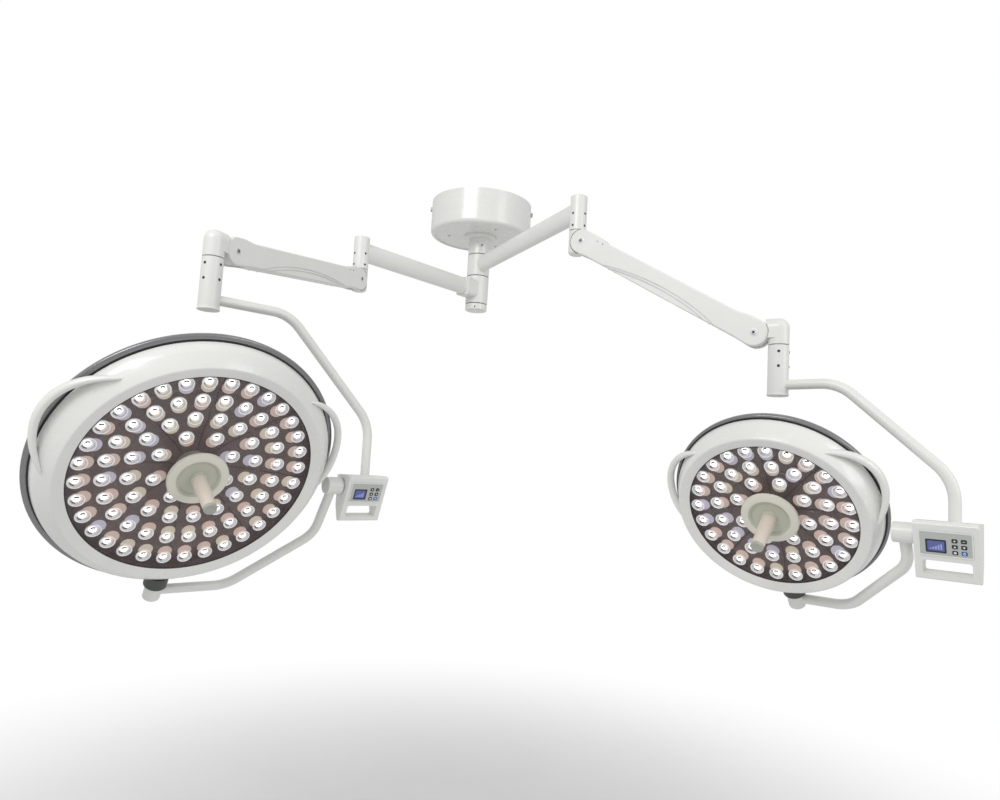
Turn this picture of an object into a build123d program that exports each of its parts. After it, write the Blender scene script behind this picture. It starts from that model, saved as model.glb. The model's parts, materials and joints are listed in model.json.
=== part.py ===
"""Ceiling-mounted surgical light with a large and a small LED head on two articulated arms.

Millimetres, +Z up.  The origin is the centre of the ceiling plate's top face, on the column's axis.
Every sub-assembly is built in its own local frame and placed through the chain of joints:
column yaw, elbow yaw, arm lift, yoke swivel, yoke swing and head tilt.
"""

from build123d import *
import os
from dataclasses import dataclass
from math import cos, pi, sqrt

# ---------------------------------------------------------------- running fits and gaps
FIT = 0.06            # radial clearance of every shaft in its bore
OPEN_PIVOT = 0.35     # clearance at the far end of the level rod, where the linkage is opened
GROOVE = 3.0          # visible dark gap between two parts that turn on each other

# ---------------------------------------------------------------- ceiling mount and column
PLATE_R, PLATE_T = 150.0, 12.0
CABLE_HOLE_R = 16.0
ANCHOR_PCD, ANCHOR_COUNT, ANCHOR_R = 240.0, 6, 6.5
CANOPY_R, CANOPY_H, CANOPY_WALL, CANOPY_LIP = 200.0, 135.0, 3.0, 18.0
CANOPY_SCREW_Z = -28.0
UNDER_SCREW_R, UNDER_SCREW_COUNT = 125.0, 3
SHAFT_R = 25.0
COLUMN_R = 44.0
COLLAR_R, COLLAR_H = 65.0, 13.0
BUSH_R = 36.0
UPPER_HUB_TOP, HUB_SPLIT, LOWER_HUB_BOTTOM, COLUMN_END = -210.0, -298.0, -410.0, -436.0

# ---------------------------------------------------------------- arms
ARM_TUBE_H, ARM_TUBE_W, ARM_TUBE_WALL = 66.0, 46.0, 3.5
POST_R, SPINDLE_R = 26.0, 18.0
SOCKET_UP, SOCKET_DOWN = 48.0, 62.0      # elbow socket above and below the arm tube's centre line
PIVOT_DROP = 102.0                       # arm tube's centre line down to the spring arm's pivot
KNUCKLE_REACH = 24.5                     # elbow axis out to the spring arm's pivot
SPRING_ARM_L = 604.0
LOWEST_LIFT = -45.0
CHEEK_R, CHEEK_CLEARANCE = 36.5, 1.3
BEAM_TOP, BEAM_BOTTOM = 29.0, -34.0      # spring arm's straight edges from the line between its pivots
SWOOSH = ((92.0, 515.0, 28.0), (118.0, 480.0, 20.0))  # relief arcs: start, end and height
ARM_HALF_W, ARM_WALL, SLOT_HALF, SLOT_L = 25.0, 3.0, 12.5, 44.0
TONGUE_R, TONGUE_HALF = 33.0, 12.0
PIN_R = 6.0
ROD_OFFSET, ROD_T, ROD_H, ROD_PIN_R = 20.0, 3.5, 10.0, 4.0
ROD_Y = 8.3                              # level rod's inner face, beside the tongues
POST_OFFSET = 58.0                       # far pivot out to the swivel post's axis
POST_TOP, POST_BOTTOM, YOKE_Z = -35.0, -165.0, -137.0

# ---------------------------------------------------------------- yoke and control box
YOKE_TUBE_R, YOKE_TUBE_WALL, YOKE_BEND = 12.7, 2.5, 110.0
BOX_TO_SWING = 32.0                      # control box's top edge down to the swing axis
BOX_LEFT, BOX_RIGHT, BOX_H = -74.0, 50.0, 128.0
FACE_TILT = 20.0
FACE_CENTRE = (-12.0, -35.0, -48.0)      # panel centre from the foot of the yoke tube
PANEL_W, PANEL_H, PANEL_T = 98.0, 53.0, 2.0
KEY_W, KEY_H, KEY_PROUD, KEY_GAP = 10.4, 8.6, 0.9, 0.3
KEY_COLUMNS, KEY_ROWS = (17.0, 34.0), (9.5, -4.0, -17.5)
DISPLAY_W, DISPLAY_H, DISPLAY_AT = 37.0, 28.0, (-18.5, -5.5)
BARREL_R, BARREL_L, BARREL_GAP, SWING_SPINDLE_R = 23.5, 45.5, 2.5, 12.0
TILT_BARREL_R, TILT_BARREL_L, TILT_SPINDLE_R = 21.5, 42.0, 10.0

# ---------------------------------------------------------------- lamp heads
HEAD_RISE, HEAD_BACK = 32.0, 20.0        # tilt centre above and behind the swing axis
WINDOW_Z, WINDOW_T = 50.0, 3.0           # window's front face ahead of the tilt axis
BEVEL_W, FRONT_Z = 25.0, 60.0
RING_END, SEAM, SHELL = 8.0, 3.0, 3.0
REAR_DEPTH = -48.0
COLLAR_OUT, TILT_COLLAR_R = 20.0, 28.5
LENS_R, LENS_FOOT_R, LENS_H = 17.5, 8.0, 15.5
HANDLE_DISC_R, HANDLE_CUP_R, HANDLE_HOLE_R = 70.0, 46.0, 50.0
GRIP_BASE_R, GRIP_TIP_R, GRIP_START, GRIP_END, GRIP_SPINDLE_R = 18.5, 14.5, 64.0, 175.0, 11.0
SIDE_HANDLE_AT = 112.5                   # degrees from the tilt collar, one on each side
SIDE_HANDLE_OUT, SIDE_HANDLE_W, SIDE_HANDLE_T = 28.0, 24.0, 17.0
HANDLE_STATIONS = (-1.0, -0.9, -0.72, -0.5, -0.25, 0.0, 0.25, 0.5, 0.72, 0.9, 1.0)


@dataclass
class Side:
    """One arm with its head: link lengths, head sizes and the joint angles of the stored pose."""

    name: str
    arm_l: float            # column axis to elbow axis
    arm_z: float            # arm tube's centre line
    hub: tuple              # hub's top and bottom
    stub: bool              # whether a square stub block joins the tube to the hub
    arm_yaw: float
    elbow_yaw: float        # world heading of the spring arm
    lift: float             # spring arm's angle above the horizontal
    yoke_yaw: float         # world heading of the yoke
    swing: float
    tilt: float
    yoke_reach: float       # swivel post's axis out to the vertical yoke tube
    yoke_run: float         # length of the level top run
    yoke_fall: float        # height of the sloping run
    box_drop: float         # top run down to the control box's top
    lower_fall: float       # swing axis down to the lower yoke's first bend
    lower_run: float        # tilt axis out to its second bend
    head_r: float
    window_r: float
    rings: tuple            # lens rings: radius, count, depth behind the window
    led_turn: float         # lens pattern's turn about the light's axis
    handle_span: float      # half the angle that a side handle spans


LARGE = Side("large", 592.0, -351.0, (HUB_SPLIT, LOWER_HUB_BOTTOM), True,
             230.0, 250.0, -8.5, 42.0, 32.0, -1.5,
             480.0, 212.0, 269.0, 417.0, 166.0, 188.0, 347.0, 272.5,
             ((250.0, 32, 14.0), (197.0, 24, 25.0), (144.0, 16, 35.0), (91.0, 8, 41.0)), 2.6, 26.0)
SMALL = Side("small", 748.0, -250.0, (UPPER_HUB_TOP, HUB_SPLIT), False,
             -64.0, -33.0, -31.0, -41.5, 34.0, 4.0,
             391.0, 148.0, 223.0, 314.0, 89.0, 135.0, 258.0, 204.0,
             ((186.0, 24, 8.0), (137.0, 16, 17.0), (89.0, 8, 23.0)), 1.1, 30.0)
SIDES = (LARGE, SMALL)
KEY_NAMES = ("brighter", "dimmer", "warmer", "cooler", "endo", "power")


# ================================================================ frames along the chain
def arm_frame(side):
    return Location((0, 0, side.arm_z), (0, 0, side.arm_yaw))


def elbow_frame(side):
    """Elbow axis at the spring arm's pivot height, +X along the spring arm's heading."""
    turn = Location((0, 0, 0), (0, 0, side.elbow_yaw - side.arm_yaw))
    return arm_frame(side) * Location((side.arm_l, 0, -PIVOT_DROP)) * turn


def spring_frame(side):
    """Base pivot, +X along the spring arm."""
    return elbow_frame(side) * Location((KNUCKLE_REACH, 0, 0), (0, -side.lift, 0))


def end_frame(side):
    """Far pivot, level again."""
    return spring_frame(side) * Location((SPRING_ARM_L, 0, 0), (0, side.lift, 0))


def yoke_frame(side):
    """Swivel post's axis at the far pivot's height, +X towards the control box."""
    turn = Location((0, 0, 0), (0, 0, side.yoke_yaw - side.elbow_yaw))
    return end_frame(side) * Location((POST_OFFSET, 0, 0)) * turn


def box_top(side):
    return YOKE_Z - side.box_drop


def box_frame(side):
    """Foot of the yoke tube on top of the control box."""
    return yoke_frame(side) * Location((side.yoke_reach, 0, box_top(side)))


def face_frame(side):
    """Control panel's centre, +X to its right, +Y up its face and +Z out of it."""
    return box_frame(side) * Location(FACE_CENTRE) * Location((0, 0, 0), (90 + FACE_TILT, 0, 0))


def swing_frame(side):
    """Swing axis along +X, with -Z towards the tilt collar."""
    return yoke_frame(side) * Location((0, 0, box_top(side) - BOX_TO_SWING), (side.swing, 0, 0))


def head_frame(side):
    """Tilt axis along +Z."""
    return swing_frame(side) * Location((0, HEAD_BACK, HEAD_RISE), (0, 0, side.tilt))


def lamp_frame(side):
    """Head's centre, +Z along the light and -Y towards the tilt collar."""
    return head_frame(side) * Location((0, 0, 0), (90, 0, 0))


# ================================================================ small helpers
def rod_between(radius, low, high, at=(0, 0)):
    """Upright cylinder from low to high."""
    return Pos(at[0], at[1], (low + high) / 2) * Cylinder(radius, high - low)


def ring_between(outer, inner, low, high):
    return rod_between(outer, low, high) - rod_between(inner, low - 1, high + 1)


def bar_along_x(radius, start, end, y=0.0, z=0.0):
    return Pos((start + end) / 2, y, z) * Rot(0, 90, 0) * Cylinder(radius, end - start)


def bar_along_y(radius, start, end, x=0.0, z=0.0):
    return Pos(x, (start + end) / 2, z) * Rot(90, 0, 0) * Cylinder(radius, end - start)


def box_between(low, high):
    size = [h - l for l, h in zip(low, high)]
    centre = [(h + l) / 2 for l, h in zip(low, high)]
    return Pos(*centre) * Box(*size)


def turned(*lines):
    """Solid of revolution about Z from an outline drawn with X as the radius and Y as the height."""
    return revolve(Plane.XZ * make_face(Curve() + list(lines)), Axis.Z)


def turned_outline(points):
    return turned(Polyline(*points, close=True))


def bent_tube(path, start_direction):
    """Round hollow tube along a path of straight runs and tangent arcs."""
    start = Plane(origin=path @ 0, z_dir=start_direction)
    outer = sweep(start * Circle(YOKE_TUBE_R), path=path)
    inner = sweep(start * Circle(YOKE_TUBE_R - YOKE_TUBE_WALL), path=path)
    return outer - inner


def save(name, shape, frame=None):
    """Write one node, placed in the whole object's frame."""
    placed = frame * shape if frame else shape
    export_step(placed, f"parts/{name}.step")


# ================================================================ ceiling mount and column
def ceiling_plate():
    plate = rod_between(PLATE_R, -PLATE_T, 0) - rod_between(CABLE_HOLE_R, -PLATE_T - 1, 1)
    holes = PolarLocations(ANCHOR_PCD / 2, ANCHOR_COUNT, start_angle=30)
    plate -= holes * rod_between(ANCHOR_R, -PLATE_T - 1, 1)
    tab_x = CANOPY_R - CANOPY_WALL - 1
    for turn in (0, 180):
        ear = box_between((PLATE_R - 12, -15, -PLATE_T), (tab_x, 15, -1.5))
        ear += box_between((tab_x - 8, -15, CANOPY_SCREW_Z - 12), (tab_x, 15, -1.5))
        ear -= bar_along_x(3.0, tab_x - 10, tab_x + 2, z=CANOPY_SCREW_Z)
        plate += Rot(0, 0, turn) * ear
    return plate


def column_shaft():
    flange = rod_between(70, -PLATE_T - 10, -PLATE_T)
    shaft = rod_between(SHAFT_R, COLUMN_END + 12, -PLATE_T - 5)
    bolts = PolarLocations(55, 6) * rod_between(5, -PLATE_T - 17, -PLATE_T - 9)
    return flange + shaft + bolts - rod_between(CABLE_HOLE_R, COLUMN_END, 1)


def canopy_cover():
    r, h, w = CANOPY_R, CANOPY_H, CANOPY_WALL
    outer = rod_between(r, -h, -1)
    outer = fillet(outer.edges().filter_by(GeomType.CIRCLE).sort_by(Axis.Z)[0], 14)
    cover = outer - rod_between(r - w, -h + 8, 1)
    cover -= rod_between(r - CANOPY_LIP, -h - 1, -h + 3.5)
    for spot in PolarLocations(UNDER_SCREW_R, UNDER_SCREW_COUNT, start_angle=-60):
        cover += spot * rod_between(8, -h + 7, -h + 20)
        cover -= spot * rod_between(2.2, -h - 1, -h + 18)
    for turn in (0, 180):
        cover -= Rot(0, 0, turn) * bar_along_x(3.4, r - 10, r + 5, z=CANOPY_SCREW_Z)
    return cover - rod_between(SHAFT_R + 4, -h - 1, 1)


def column_collar():
    top = -CANOPY_H + 3.2
    ring = rod_between(COLLAR_R, top - COLLAR_H, top)
    ring = fillet(ring.edges().filter_by(GeomType.CIRCLE).sort_by(Axis.Z)[0], 5)
    neck = rod_between(COLUMN_R, UPPER_HUB_TOP + GROOVE / 2, top - COLLAR_H + 1)
    return ring + neck - rod_between(SHAFT_R, UPPER_HUB_TOP - 1, 1)


def column_bushes():
    """Flanged plain bushes between the shaft and the two turning hubs."""
    top = ring_between(BUSH_R, SHAFT_R, UPPER_HUB_TOP - 20, UPPER_HUB_TOP)
    middle = ring_between(BUSH_R, SHAFT_R, HUB_SPLIT - 20, HUB_SPLIT + 20)
    middle += ring_between(BUSH_R + 4, SHAFT_R, HUB_SPLIT - 1.1, HUB_SPLIT + 1.1)
    low = ring_between(BUSH_R, SHAFT_R, LOWER_HUB_BOTTOM - 1, LOWER_HUB_BOTTOM + 20)
    low += ring_between(BUSH_R + 4, SHAFT_R, LOWER_HUB_BOTTOM - 1.1, LOWER_HUB_BOTTOM + 1.1)
    return Compound(children=[top, middle, low])


def column_end_cap():
    cap = rod_between(COLUMN_R - 1, COLUMN_END, LOWER_HUB_BOTTOM - GROOVE / 2)
    cap = fillet(cap.edges().filter_by(GeomType.CIRCLE).sort_by(Axis.Z)[0], 6)
    return cap - rod_between(SHAFT_R, COLUMN_END + 12, 0)


def power_supplies():
    """Two driver units hung under the ceiling plate, each a ribbed case with a terminal block."""
    units = []
    for turn in (90, 270):
        case = box_between((76, -38, -PLATE_T - 42), (146, 38, -PLATE_T))
        for y in range(-30, 31, 12):
            case -= box_between((80, y - 2, -PLATE_T - 43), (142, y + 2, -PLATE_T - 38))
        case += box_between((146, -22, -PLATE_T - 20), (160, 22, -PLATE_T - 4))
        units.append(Rot(0, 0, turn) * case)
    return Compound(children=units)


def ceiling_screws():
    """Two knurled side screws and three small screws in the canopy's underside."""
    screws = []
    for turn in (0, 180):
        side_screw = bar_along_x(2.95, CANOPY_R - 14, CANOPY_R + 1, z=CANOPY_SCREW_Z)
        side_screw += bar_along_x(9, CANOPY_R + 0.3, CANOPY_R + 7, z=CANOPY_SCREW_Z)
        screws.append(Rot(0, 0, turn) * side_screw)
    under = -CANOPY_H + 3.5
    for spot in PolarLocations(UNDER_SCREW_R, UNDER_SCREW_COUNT, start_angle=-60):
        screw = rod_between(2.1, under - 1, under + 12) + rod_between(4.2, under - 2.4, under)
        screw -= Pos(0, 0, under - 2.4) * extrude(RegularPolygon(2.0, 6), 1.4)
        screws.append(spot * screw)
    return Compound(children=screws)


# ================================================================ arm, in the arm frame
def arm(side):
    """Hub, oval tube and elbow socket, welded together."""
    top, bottom = (z - side.arm_z for z in side.hub)
    bore = BUSH_R + FIT
    hub = rod_between(COLUMN_R, bottom + GROOVE / 2, top - GROOVE / 2)
    hub = chamfer(hub.edges().filter_by(GeomType.CIRCLE), 1.0)
    section = Plane.YZ * Ellipse(ARM_TUBE_W / 2, ARM_TUBE_H / 2)
    hollow = Plane.YZ * Ellipse(ARM_TUBE_W / 2 - ARM_TUBE_WALL, ARM_TUBE_H / 2 - ARM_TUBE_WALL)
    tube = Pos(COLUMN_R / 2 + 4, 0, 0) * extrude(section, side.arm_l - COLUMN_R / 2 - 4)
    core = Pos(COLUMN_R + 8, 0, 0) * extrude(hollow, side.arm_l - COLUMN_R - POST_R - 8)
    socket = rod_between(POST_R, -SOCKET_DOWN, SOCKET_UP, at=(side.arm_l, 0))
    socket = fillet(socket.edges().filter_by(GeomType.CIRCLE).sort_by(Axis.Z)[-1], 3)
    body = hub + tube + socket
    if side.stub:
        block = box_between((20, -33, -35), (84, 33, 35))
        body += fillet(block.edges().filter_by(Axis.X), 10)
    body -= core
    body -= rod_between(bore, bottom - 1, top + 1)
    spindle_top = PIVOT_DROP - SOCKET_DOWN + 76 - PIVOT_DROP
    body -= rod_between(SPINDLE_R + FIT, -SOCKET_DOWN - 1, spindle_top, at=(side.arm_l, 0))
    return body


# ================================================================ knuckles, at their pivots' height
def cheek_room(x):
    """Space that the spring arm's round cheeks sweep, on both sides of a tongue."""
    room = bar_along_y(CHEEK_R + CHEEK_CLEARANCE, SLOT_HALF - 0.3, ARM_HALF_W + 8, x=x)
    return room + mirror(room, Plane.XZ)


def lowered_arm_room():
    """Space that the spring arm's underside needs beside the base pivot when the arm points down."""
    reach = CHEEK_R + CHEEK_CLEARANCE
    room = box_between((0, SLOT_HALF - 0.3, -reach), (90, ARM_HALF_W + 8, 0))
    room += mirror(room, Plane.XZ)
    return Location((KNUCKLE_REACH, 0, 0), (0, -LOWEST_LIFT, 0)) * room


def rod_room(x, side):
    """Layer beside a tongue that the level rod sweeps, on the spring arm's side of the pivot."""
    near, far = ROD_Y - 0.3, SLOT_HALF + 0.5
    low = box_between((min(0, side * 70) - 9.5, near, -60), (max(0, side * 70) + 9.5, far, -11))
    outer = box_between((min(0, side * 70), near, -60), (max(0, side * 70), far, 60))
    outer -= bar_along_y(PIN_R + 2.5, near - 1, far + 1)
    return Pos(x, 0, 0) * (low + outer)


def base_knuckle():
    """Spindle up into the elbow socket, round body and tongue to the spring arm's pivot."""
    socket_end = PIVOT_DROP - SOCKET_DOWN
    spindle = rod_between(SPINDLE_R, socket_end - GROOVE - 6, socket_end + 74)
    spindle = chamfer(spindle.edges().filter_by(GeomType.CIRCLE).sort_by(Axis.Z)[-1], 2)
    body = rod_between(POST_R, -CHEEK_R, socket_end - GROOVE)
    body = fillet(body.edges().filter_by(GeomType.CIRCLE).sort_by(Axis.Z)[0], 10)
    tongue = bar_along_y(TONGUE_R, -TONGUE_HALF, TONGUE_HALF, x=KNUCKLE_REACH)
    tongue += box_between((0, -TONGUE_HALF, -20), (KNUCKLE_REACH, TONGUE_HALF, 24))
    knuckle = body + spindle - cheek_room(KNUCKLE_REACH) - lowered_arm_room() + tongue
    knuckle -= rod_room(KNUCKLE_REACH, 1)
    knuckle += bar_along_y(ROD_PIN_R, ROD_Y - 1, SLOT_HALF - 0.4, x=KNUCKLE_REACH, z=-ROD_OFFSET)
    return knuckle - bar_along_y(PIN_R + FIT, -30, 30, x=KNUCKLE_REACH)


def end_knuckle():
    """Elbow that stays upright: tongue, domed cap and the spindle down into the swivel post."""
    bottom = POST_TOP + GROOVE
    axis_height = CHEEK_R + 1 - POST_R
    cap = rod_between(POST_R, bottom, axis_height, at=(POST_OFFSET, 0))
    cap += Pos(POST_OFFSET, 0, axis_height) * Sphere(POST_R)
    cap += bar_along_x(POST_R, 28, POST_OFFSET, z=axis_height)
    cap += box_between((28, -POST_R, bottom + 16), (POST_OFFSET, POST_R, axis_height))
    tongue = bar_along_y(TONGUE_R, -TONGUE_HALF, TONGUE_HALF)
    tongue += box_between((0, -TONGUE_HALF, -20), (POST_OFFSET, TONGUE_HALF, 24))
    spindle = rod_between(SPINDLE_R, POST_BOTTOM + 44, bottom + 2, at=(POST_OFFSET, 0))
    knuckle = cap - cheek_room(0) + tongue + spindle
    knuckle -= rod_room(0, -1)
    knuckle += bar_along_y(ROD_PIN_R, ROD_Y - 1, SLOT_HALF - 0.4, z=-ROD_OFFSET)
    return knuckle - bar_along_y(PIN_R + FIT, -30, 30)


# ================================================================ spring arm, in its own frame
def arm_outline(inset=0.0):
    """Side outline: round ends that stand proud of a straight beam, with a screw land behind the base."""
    r, top, bottom = CHEEK_R - inset, BEAM_TOP - inset, BEAM_BOTTOM + inset
    far = SPRING_ARM_L
    lines = [
        ThreePointArc((0, -r), (-r, 0), (0, r)),
        Line((0, r), (42, r)),
        Spline((42, r), (92, top), tangents=((1, 0), (1, 0))),
        Line((92, top), (far - 78, top)),
        Spline((far - 78, top), (far - 16, r), tangents=((1, 0), (1, 0))),
        Line((far - 16, r), (far, r)),
        ThreePointArc((far, r), (far + r, 0), (far, -r)),
        Spline((far, -r), (far - 54, bottom), tangents=((-1, 0), (-1, 0))),
        Line((far - 54, bottom), (54, bottom)),
        Spline((54, bottom), (0, -r), tangents=((-1, 0), (-1, 0))),
    ]
    return Plane.XZ * make_face(Curve() + lines)


def swoosh_relief(start, end, height):
    """Lens-shaped area along the arm's lower edge."""
    low = BEAM_BOTTOM - 2
    peak = start + 0.58 * (end - start)
    arc = Spline((start, low), (peak, low + height), (end, low))
    return Plane.XZ * make_face(Curve() + [arc, Line((end, low), (start, low))])


def spring_arm():
    w = ARM_HALF_W
    body = Pos(0, w, 0) * extrude(arm_outline(), 2 * w)
    rims = body.faces().filter_by(Axis.Y).edges()
    body = fillet(rims, 4)
    for relief, depth in zip(SWOOSH, (0.7, 1.4)):
        cut = Pos(0, w + 1, 0) * extrude(swoosh_relief(*relief), 1 + depth)
        body -= cut + mirror(cut, Plane.XZ)
    hollow = Pos(0, w - ARM_WALL, 0) * extrude(arm_outline(ARM_WALL), 2 * (w - ARM_WALL))
    middle = box_between((SLOT_L, -w, -60), (SPRING_ARM_L - SLOT_L, w, 60))
    body -= hollow & middle
    slot = box_between((-60, -SLOT_HALF, -60), (SLOT_L + 1, SLOT_HALF, 60))
    far_slot = box_between((SPRING_ARM_L - SLOT_L - 1, -SLOT_HALF, -60),
                           (SPRING_ARM_L + 60, SLOT_HALF, 60))
    body -= slot + far_slot
    for x in (0, SPRING_ARM_L):
        body -= bar_along_y(PIN_R + FIT / 2, -w - 1, w + 1, x=x)
    return body


def pivot_pins():
    pins = []
    length = ARM_HALF_W - 0.5
    for x in (0, SPRING_ARM_L):
        pin = bar_along_y(PIN_R, -length, length, x=x)
        for turn in (90, -90):
            socket = extrude(RegularPolygon(2.6, 6), 3, both=True)
            pin -= Pos(x, -length if turn == 90 else length, 0) * Rot(turn, 0, 0) * socket
        pins.append(pin)
    return Compound(children=pins)


def balance_spring():
    """Compression spring on its guide rod, between two seats inside the spring arm."""
    y, z, low, high, wire, coil_r = -6.0, 6.0, 92.0, 400.0, 2.6, 11.5
    rod = bar_along_x(6, low - 20, high + 60, y=y, z=z)
    wall = ARM_WALL - ARM_HALF_W
    seats = bar_along_x(15, low - 8, low, y=y, z=z)
    seats += box_between((high, wall, z - 14), (high + 10, y + 13, z + 14))
    turns = 20
    pitch = (high - low - 2 * wire) / turns
    path = Helix(pitch=pitch, height=pitch * turns, radius=coil_r)
    section = Plane(origin=path @ 0, z_dir=path % 0) * Circle(wire)
    coil = Pos(low + wire, y, z) * Rot(0, 90, 0) * sweep(section, path=path)
    return Compound(children=[rod + seats, coil])


def level_rod():
    """Parallel rod that keeps the end knuckle upright, in a frame at its own base pivot."""
    rod = box_between((0, ROD_Y, -ROD_H / 2), (SPRING_ARM_L, ROD_Y + ROD_T, ROD_H / 2))
    for x, clearance in ((0, FIT), (SPRING_ARM_L, OPEN_PIVOT)):
        rod += bar_along_y(7.5, ROD_Y, ROD_Y + ROD_T, x=x)
        rod -= bar_along_y(ROD_PIN_R + clearance, ROD_Y - 1, ROD_Y + ROD_T + 1, x=x)
    return rod


# ================================================================ yoke, in the yoke frame
def swivel_yoke(side):
    """Swivel post with the bent tube that carries the control box."""
    post = rod_between(POST_R, POST_BOTTOM, POST_TOP)
    lip = rod_between(POST_R + 1, POST_BOTTOM - 1, POST_BOTTOM + 5)
    lip = fillet(lip.edges().filter_by(GeomType.CIRCLE), 2)
    foot = box_top(side)
    corners = [
        (POST_R - 5, 0, YOKE_Z),
        (side.yoke_run, 0, YOKE_Z),
        (side.yoke_reach, 0, YOKE_Z - side.yoke_fall),
        (side.yoke_reach, 0, foot),
    ]
    tube = bent_tube(FilletPolyline(*corners, radius=YOKE_BEND), (1, 0, 0))
    yoke = post + lip + tube
    return yoke - rod_between(SPINDLE_R + FIT, POST_BOTTOM + 42, POST_TOP + 1)


def key_places():
    """Centres of the six keys on the panel's face, row by row."""
    return [(x, y) for y in KEY_ROWS for x in KEY_COLUMNS]


def control_box():
    """Housing with a sloping face and a grab handle below it, in the box frame."""
    face = Location(FACE_CENTRE) * Location((0, 0, 0), (90 + FACE_TILT, 0, 0))
    x_mid = (BOX_LEFT + BOX_RIGHT) / 2
    outline = Polyline((-49, -6), (-5.5, -BOX_H), (10, -BOX_H), (22, -84), (22, 0), (-38, 0), close=True)
    side_view = make_face(outline)
    side_view = fillet(side_view.vertices(), 4)
    body = extrude(Plane.YZ * side_view, BOX_RIGHT - BOX_LEFT)
    body = Pos(BOX_LEFT, 0, 0) * body
    # rounded front outline: small radii at the top, large ones around the handle
    trim = RectangleRounded(BOX_RIGHT - BOX_LEFT, BOX_H + 40, 18)
    front = face * Pos(x_mid - FACE_CENTRE[0], 0, -90) * extrude(Pos(0, -20 + 0.2, 0) * trim, 180)
    body &= front
    hole = RectangleRounded(94, 33, 5)
    body -= face * Pos(0, -57, -60) * extrude(hole, 120)
    pocket = RectangleRounded(PANEL_W, PANEL_H, 3)
    body -= face * Pos(0, 0, -PANEL_T) * extrude(pocket, 20)
    body -= face * Pos(0, 0, -PANEL_T - 20) * Box(86, 50, 40)
    spindle_end = BOX_LEFT - BARREL_GAP - BARREL_L + 3
    body += bar_along_x(SWING_SPINDLE_R, spindle_end, BOX_LEFT + 4, z=-BOX_TO_SWING)
    body += bar_along_x(BARREL_R - 3, BOX_LEFT - 0.6, BOX_LEFT + 4, z=-BOX_TO_SWING)
    return body


def control_panel():
    """Membrane plate with a display recess and a window for each key, in the face frame."""
    plate = Pos(0, 0, -PANEL_T) * extrude(RectangleRounded(PANEL_W - 0.4, PANEL_H - 0.4, 2.8), PANEL_T)
    display = Pos(*DISPLAY_AT, -0.8) * extrude(RectangleRounded(DISPLAY_W, DISPLAY_H, 1), 5)
    plate -= display
    window = RectangleRounded(KEY_W + 2 * KEY_GAP, KEY_H + 2 * KEY_GAP, 2.4)
    for x, y in key_places():
        plate -= Pos(x, y, -PANEL_T - 1) * extrude(window, PANEL_T + 2)
    return plate


def key():
    cap = Pos(0, 0, -PANEL_T - 0.2) * extrude(RectangleRounded(KEY_W, KEY_H, 2.1), PANEL_T + 0.2 + KEY_PROUD)
    cap = fillet(cap.faces().sort_by(Axis.Z)[-1].edges(), 0.5)
    flange = Pos(0, 0, -PANEL_T - 1.4) * extrude(RectangleRounded(KEY_W + 2, KEY_H + 2, 2.6), 1.2)
    return cap + flange


# ================================================================ lower yoke, in the swing frame
def collar_end(side):
    """Swing axis down to the outer face of the tilt collar."""
    return side.head_r - HEAD_RISE + COLLAR_OUT


def lower_yoke(side):
    """Swing barrel, bent tube and tilt barrel, welded together."""
    barrel_end = side.yoke_reach + BOX_LEFT - BARREL_GAP
    barrel_mid = barrel_end - BARREL_L / 2
    barrel = bar_along_x(BARREL_R, barrel_end - BARREL_L, barrel_end)
    barrel = fillet(barrel.edges().filter_by(GeomType.CIRCLE), 2.5)
    tilt_top = -collar_end(side) - 0.5
    tube_z = tilt_top - 17
    corners = [
        (barrel_mid, 0, -BARREL_R + 6),
        (barrel_mid, 0, -side.lower_fall),
        (side.lower_run, HEAD_BACK, tube_z),
        (TILT_BARREL_R - 5, HEAD_BACK, tube_z),
    ]
    tube = bent_tube(FilletPolyline(*corners, radius=YOKE_BEND * 0.75), (0, 0, -1))
    tilt = rod_between(TILT_BARREL_R, tilt_top - TILT_BARREL_L, tilt_top, at=(0, HEAD_BACK))
    tilt = fillet(tilt.edges().filter_by(GeomType.CIRCLE).sort_by(Axis.Z)[0], 5)
    body = barrel + tube + tilt
    body -= bar_along_x(SWING_SPINDLE_R + FIT, barrel_end - BARREL_L + 2, barrel_end + 1)
    return body - rod_between(TILT_SPINDLE_R + FIT, tilt_top - 38, tilt_top + 1, at=(0, HEAD_BACK))


# ================================================================ lamp head, in the lamp frame
def collar_room(side, radius):
    """Cylinder along the tilt axis through the head's wall."""
    return bar_along_y(radius, -side.head_r - 30, -side.head_r + 60)


def tilt_collar(side):
    r = side.head_r
    collar = bar_along_y(TILT_COLLAR_R, -r - COLLAR_OUT, -r + 14)
    collar = fillet(collar.edges().filter_by(GeomType.CIRCLE).sort_by(Axis.Y)[0], 3)
    spindle = bar_along_y(TILT_SPINDLE_R, -r - COLLAR_OUT - 36, -r)
    lug = box_between((-18, -r + 13, -18), (18, -r + 44, -6))
    return collar + spindle + lug


def ring_outer_lines(side):
    """Outer surface of the front ring, from the window's edge over the bevel to the skirt's end."""
    r, bevel = side.head_r, side.window_r + BEVEL_W
    return [
        Line((side.window_r, WINDOW_Z + 1.4), (bevel, FRONT_Z)),
        Line((bevel, FRONT_Z), (r - 14, 33)),
        Bezier((r - 14, 33), (r - 2, 28), (r, 18)),
        Line((r, 18), (r, RING_END)),
    ]


def front_ring(side):
    r, bevel, t = side.head_r, side.window_r + BEVEL_W, SHELL
    lip = WINDOW_Z + 0.2
    inner = Polyline((r, RING_END), (r - t, RING_END), (r - t, 17), (r - 15.5, 30.2), (bevel, FRONT_Z - t),
                     (side.window_r + 6.6, lip), (side.window_r, lip), (side.window_r, WINDOW_Z + 1.4))
    ring = turned(*ring_outer_lines(side), inner)
    return ring - collar_room(side, TILT_COLLAR_R + 0.5)


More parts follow.
